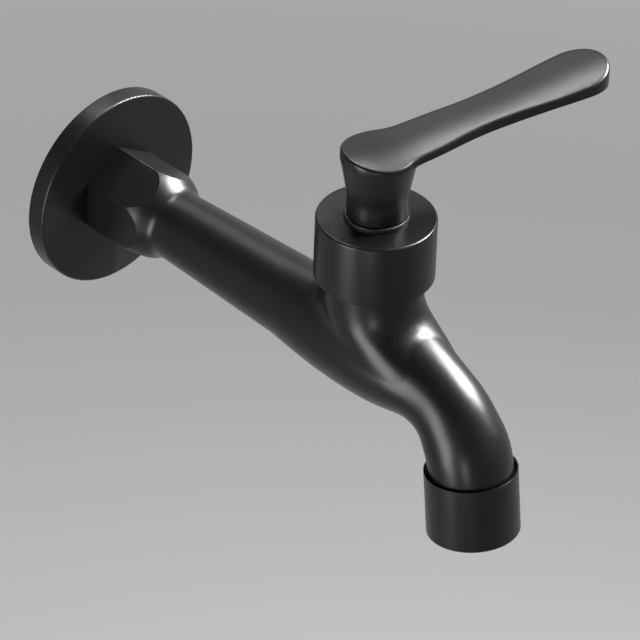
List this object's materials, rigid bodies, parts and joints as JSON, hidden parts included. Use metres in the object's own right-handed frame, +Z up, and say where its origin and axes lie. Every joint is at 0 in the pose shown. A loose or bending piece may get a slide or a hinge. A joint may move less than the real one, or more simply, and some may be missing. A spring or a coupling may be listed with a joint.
{
  "type": "wall-mounted cold water tap",
  "caption": "Wall-mounted cold water tap with a hexagonal inlet, round cover plate, tapering pipe, falling spout with an aerator, and a turning lever on an upright valve.",
  "frame": {"origin": "where the inlet thread's axis crosses the wall's surface", "axes": "+X to the right along the wall for a person facing it, +Y into the wall along the inlet thread, +Z up"},
  "size_m": [0.0996, 0.1826, 0.1204],
  "materials": {
    "black_coating": "satin black powder coating on cast metal",
    "brass": "turned brass",
    "steel": "plain stainless steel",
    "ceramic": "polished aluminium oxide ceramic",
    "rubber": "moulded black rubber",
    "fibre": "pressed red fibre",
    "white_plastic": "moulded white acetal",
    "black_plastic": "moulded black acetal"
  },
  "bodies": {
    "tap_fixed": {"tap_body": "black_coating", "escutcheon": "black_coating", "wall_seal": "rubber", "inlet_strainer": "white_plastic", "bonnet_cap": "black_coating", "guide_ring": "black_plastic", "headwork_body": "brass", "headwork_washer": "fibre", "thrust_washer": "white_plastic", "fixed_disc": "ceramic", "seat_seal": "rubber", "seal_support_ring": "white_plastic", "aerator_housing": "black_coating", "aerator_washer": "rubber", "aerator_cage": "white_plastic", "aerator_strainer": "white_plastic", "aerator_diffuser": "white_plastic"},
    "lever": {"handle": "black_coating", "grub_screw": "steel", "screw_plug": "black_plastic", "spindle": "brass", "spindle_o_rings": "rubber", "retaining_clip": "steel", "moving_disc": "ceramic"}
  },
  "joints": [
    {"name": "handle_turn", "type": "hinge", "parent": "tap_fixed", "child": "lever", "pos_m": [0, -0.11175, 0.05], "axis": [0, 0, 1], "range_deg": [-74, 16]}
  ]
}
